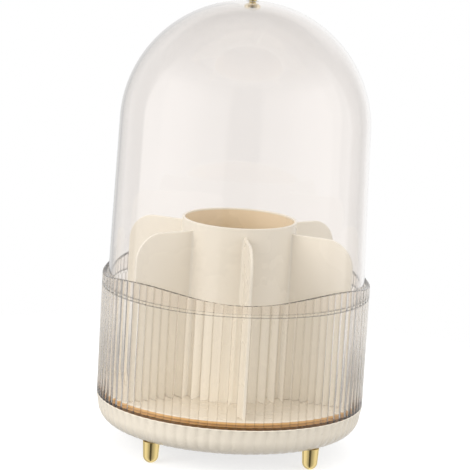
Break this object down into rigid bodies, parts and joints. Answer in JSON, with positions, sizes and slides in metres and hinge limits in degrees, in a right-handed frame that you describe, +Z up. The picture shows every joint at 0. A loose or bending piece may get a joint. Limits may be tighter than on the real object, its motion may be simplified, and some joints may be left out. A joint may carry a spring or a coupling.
{
  "type": "makeup organizer",
  "caption": "Round desk organizer for brushes and make-up: divided turntable in a clear reeded barrel with a wavy rim, under a lift-off clear dome, on a reeded cream bowl with gold feet.",
  "frame": {"origin": "under the middle, at the level of the four feet", "axes": "+Z up, the front faces -Y, +X to the right seen from the front"},
  "size_m": [0.185, 0.185, 0.326],
  "materials": {
    "cream_plastic": "glossy moulded plastic, warm cream",
    "clear_plastic": "clear polished plastic with a faint warm grey tint",
    "gold_metal": "polished gold-plated metal",
    "steel": "plain zinc-plated steel",
    "white_plastic": "matt white bearing plastic"
  },
  "bodies": {
    "root": {"base_bowl": "cream_plastic", "foot_front_left": "gold_metal", "foot_front_right": "gold_metal", "foot_back_right": "gold_metal", "foot_back_left": "gold_metal", "foot_screws": "steel", "clear_barrel": "clear_plastic", "pivot_bush": "white_plastic"},
    "dome": {"clear_dome": "clear_plastic", "dome_knob": "gold_metal", "knob_screw": "steel", "knob_washer": "white_plastic"},
    "turntable": {"turntable": "cream_plastic", "divider": "cream_plastic", "pivot_washer": "steel", "pivot_screw": "steel"},
    "bearing": {"ball_cage": "white_plastic", "bearing_balls": "steel"}
  },
  "joints": [
    {"name": "dome_lift", "type": "slide", "parent": "root", "child": "dome", "axis": [0, 0, 1], "range_m": [0, 0.06]},
    {"name": "turntable_turn", "type": "hinge", "parent": "root", "child": "turntable", "pos_m": [0, 0, 0.0375], "axis": [0, 0, 1], "continuous": true},
    {"name": "bearing_turn", "type": "hinge", "parent": "root", "child": "bearing", "pos_m": [0, 0, 0.0275], "axis": [0, 0, 1], "continuous": true}
  ],
  "couplings": [
    {"joint": "bearing_turn", "follows": "turntable_turn", "ratio": 0.5}
  ]
}
